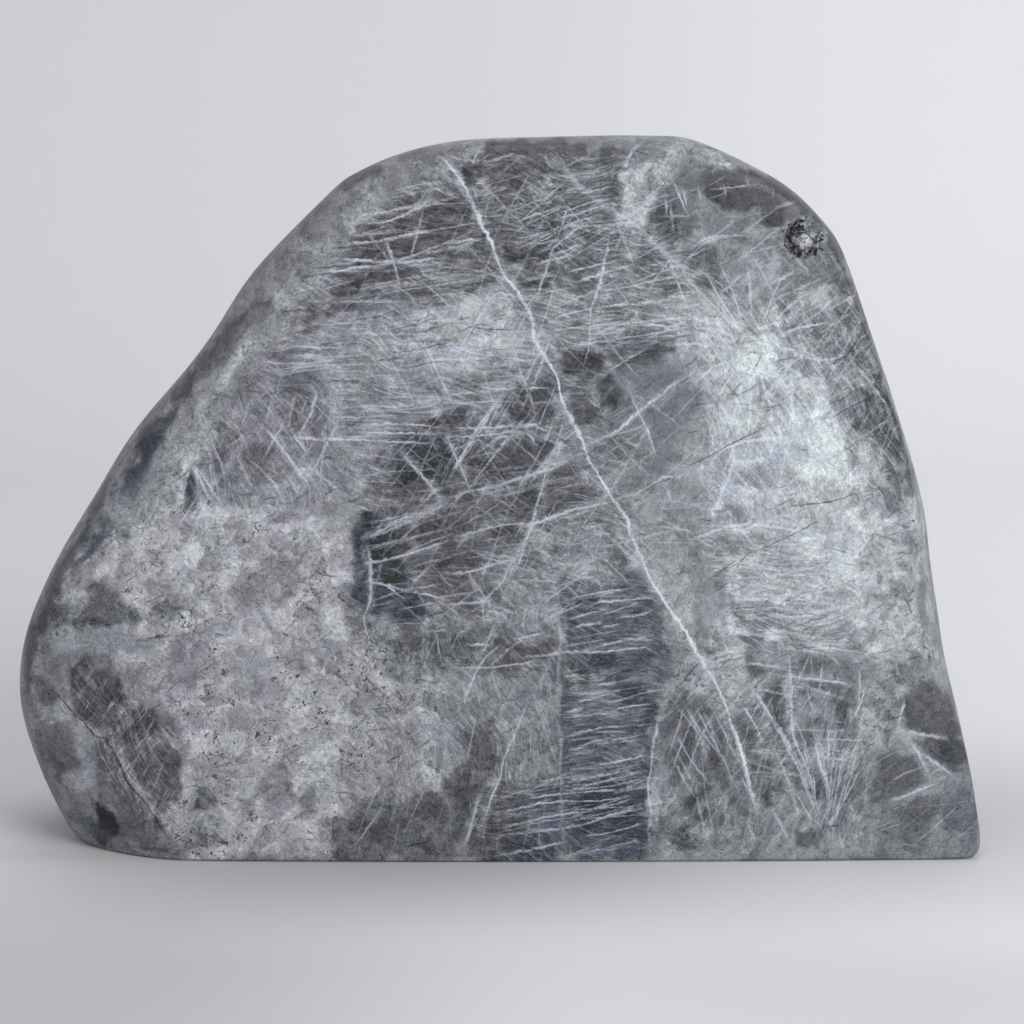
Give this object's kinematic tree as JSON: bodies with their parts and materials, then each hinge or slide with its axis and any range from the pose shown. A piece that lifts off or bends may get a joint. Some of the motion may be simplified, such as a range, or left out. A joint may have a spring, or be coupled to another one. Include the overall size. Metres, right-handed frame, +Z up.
{
  "type": "polished labradorite freeform stone",
  "caption": "Upright polished labradorite stone with a flat cut base, to stand on a shelf or desk as a mineral display piece",
  "frame": {"origin": "middle of the stone's bounding box in X and Y, on the flat cut base at Z 0", "axes": "+Z up, +X along the stone's length with the tall steep end at +X, and the broad polished show face looking along -Y"},
  "size_m": [0.2422, 0.0674, 0.1783],
  "materials": {
    "polished_labradorite": "satin polish over mottled blue-grey and cream feldspar with fine pale veins and brown-black crystals"
  },
  "bodies": {
    "root": {"labradorite_stone": "polished_labradorite"}
  },
  "joints": []
}
